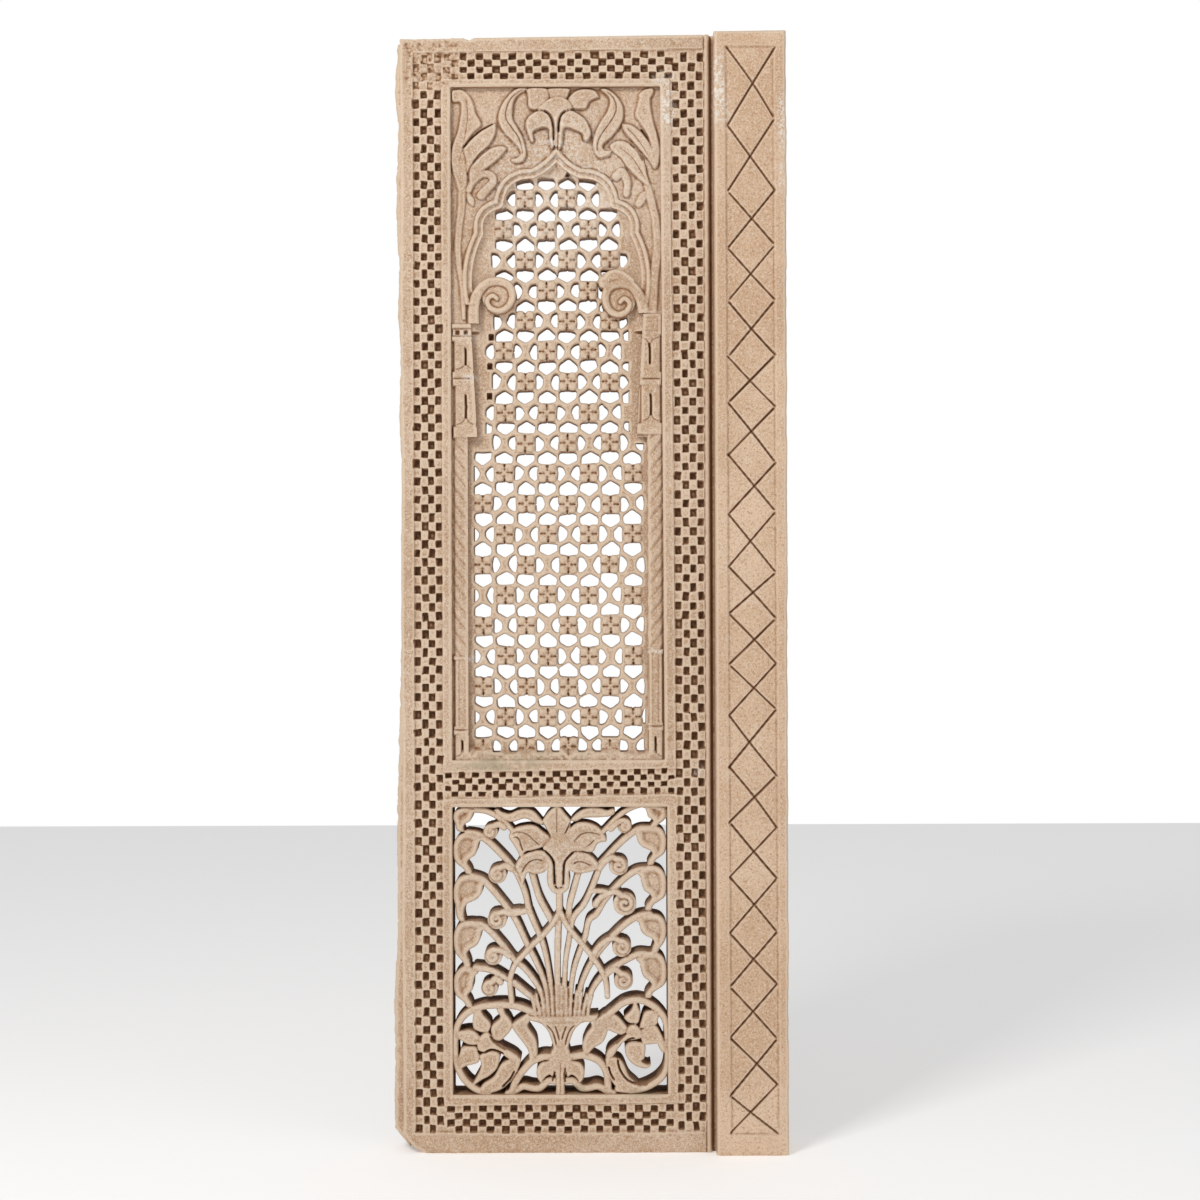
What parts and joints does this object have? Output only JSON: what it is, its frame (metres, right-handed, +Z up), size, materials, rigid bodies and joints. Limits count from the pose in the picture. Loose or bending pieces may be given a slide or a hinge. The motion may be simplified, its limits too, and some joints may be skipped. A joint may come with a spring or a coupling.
{
  "type": "stone jali panel",
  "caption": "Carved sandstone jali panel: arched pierced screen above, pierced lily panel below, checkered bands and a flat pilaster strip on the right",
  "frame": {"origin": "on the floor the panel stands on, midway across its width and its depth", "axes": "+X to the right seen from the front, +Y from the carved front into the wall, +Z up the panel"},
  "size_m": [0.495, 0.074, 1.4],
  "materials": {
    "sandstone": "matte weathered sandstone"
  },
  "bodies": {
    "root": {"jali_panel": "sandstone"}
  },
  "joints": []
}
